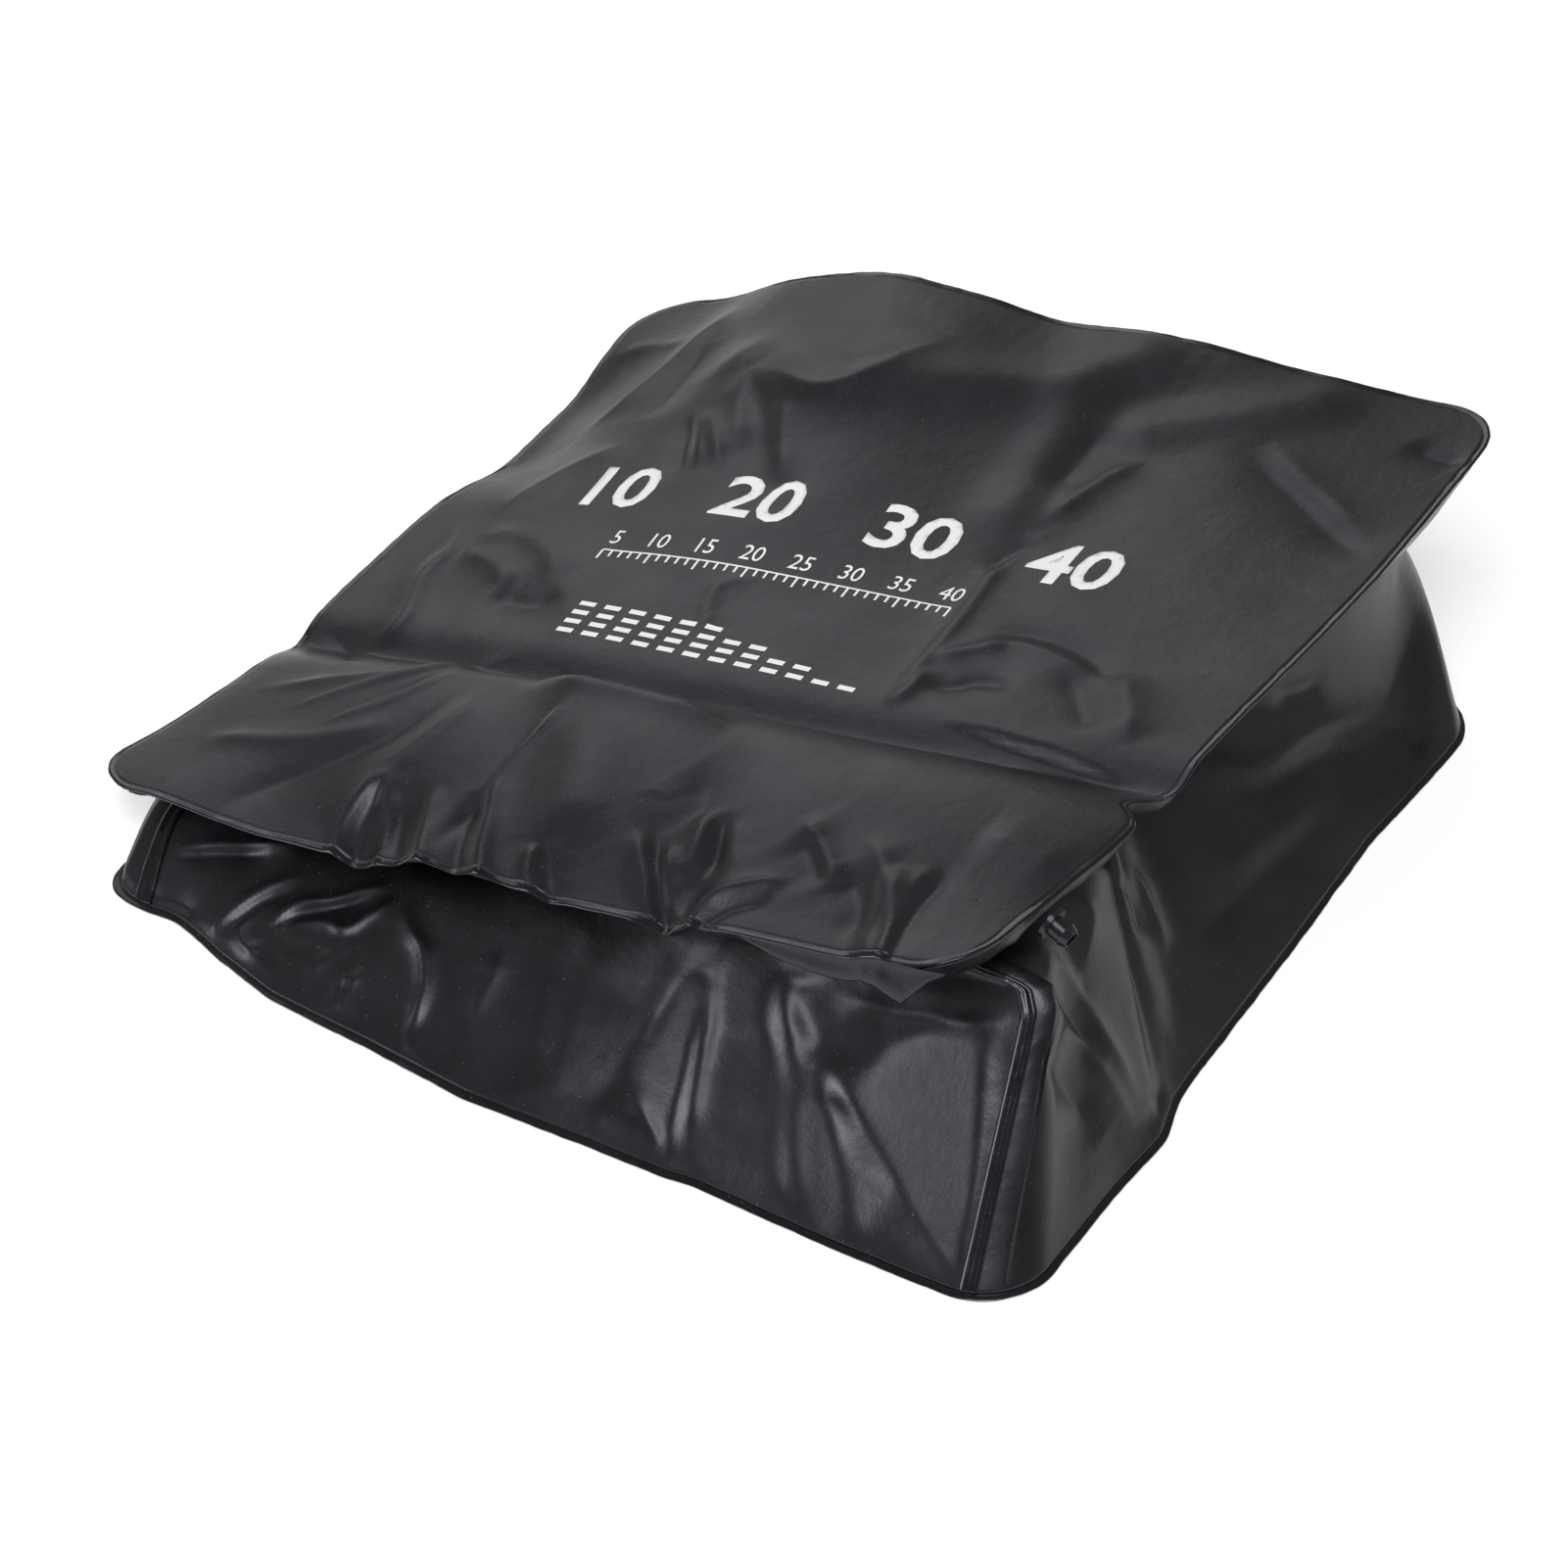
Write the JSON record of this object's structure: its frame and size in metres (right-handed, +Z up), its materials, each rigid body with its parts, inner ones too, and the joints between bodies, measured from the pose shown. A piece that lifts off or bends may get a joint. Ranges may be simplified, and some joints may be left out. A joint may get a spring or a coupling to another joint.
{
  "type": "camp shower bag",
  "caption": "Box-type camp shower bag of welded black film, lying part empty, with a screw filler and an outlet spigot for a hose.",
  "frame": {"origin": "on the ground, under the middle of the whole laid bag", "axes": "+X along the front edge to the right, +Y to the back, +Z up"},
  "size_m": [0.4464, 0.4451, 0.1217],
  "materials": {
    "film_top": "satin black PVC film with faint grain",
    "film_wall": "semi-gloss black PVC film",
    "weld": "glossy pressed weld",
    "moulding": "glossy moulded plastic",
    "gasket": "matt rubber"
  },
  "bodies": {
    "base": {"bottom_panel": "film_wall", "bottom_weld_bead": "weld", "front_wall": "film_wall", "right_wall": "film_wall", "back_wall": "film_wall", "left_wall": "film_wall", "corner_weld_front_right": "weld", "corner_weld_back_right": "weld", "corner_weld_back_left": "weld", "corner_weld_front_left": "weld", "filler_neck": "moulding"},
    "top": {"top_panel": "film_top", "top_weld_bead": "weld", "outlet_spigot": "moulding"},
    "cap_seal": {"filler_gasket": "gasket"},
    "cap": {"filler_cap": "moulding"}
  },
  "joints": [
    {"name": "top_lift", "type": "slide", "parent": "base", "child": "top", "axis": [0, 0, 1], "range_m": [-0.012, 0.1], "deforming": ["front_wall", "right_wall", "back_wall", "left_wall", "corner_weld_front_right", "corner_weld_back_right", "corner_weld_back_left", "corner_weld_front_left"]},
    {"name": "cap_rise", "type": "slide", "parent": "base", "child": "cap_seal", "axis": [-0.0772, 0.9905, -0.114], "range_m": [0, 0.0045]},
    {"name": "cap_turn", "type": "hinge", "parent": "cap_seal", "child": "cap", "pos_m": [0.10248, 0.1863, 0.03681], "axis": [-0.0772, 0.9905, -0.114], "range_deg": [0, 540]}
  ],
  "couplings": [
    {"joint": "cap_rise", "follows": "cap_turn", "m_per_rad": 0.00047746}
  ]
}
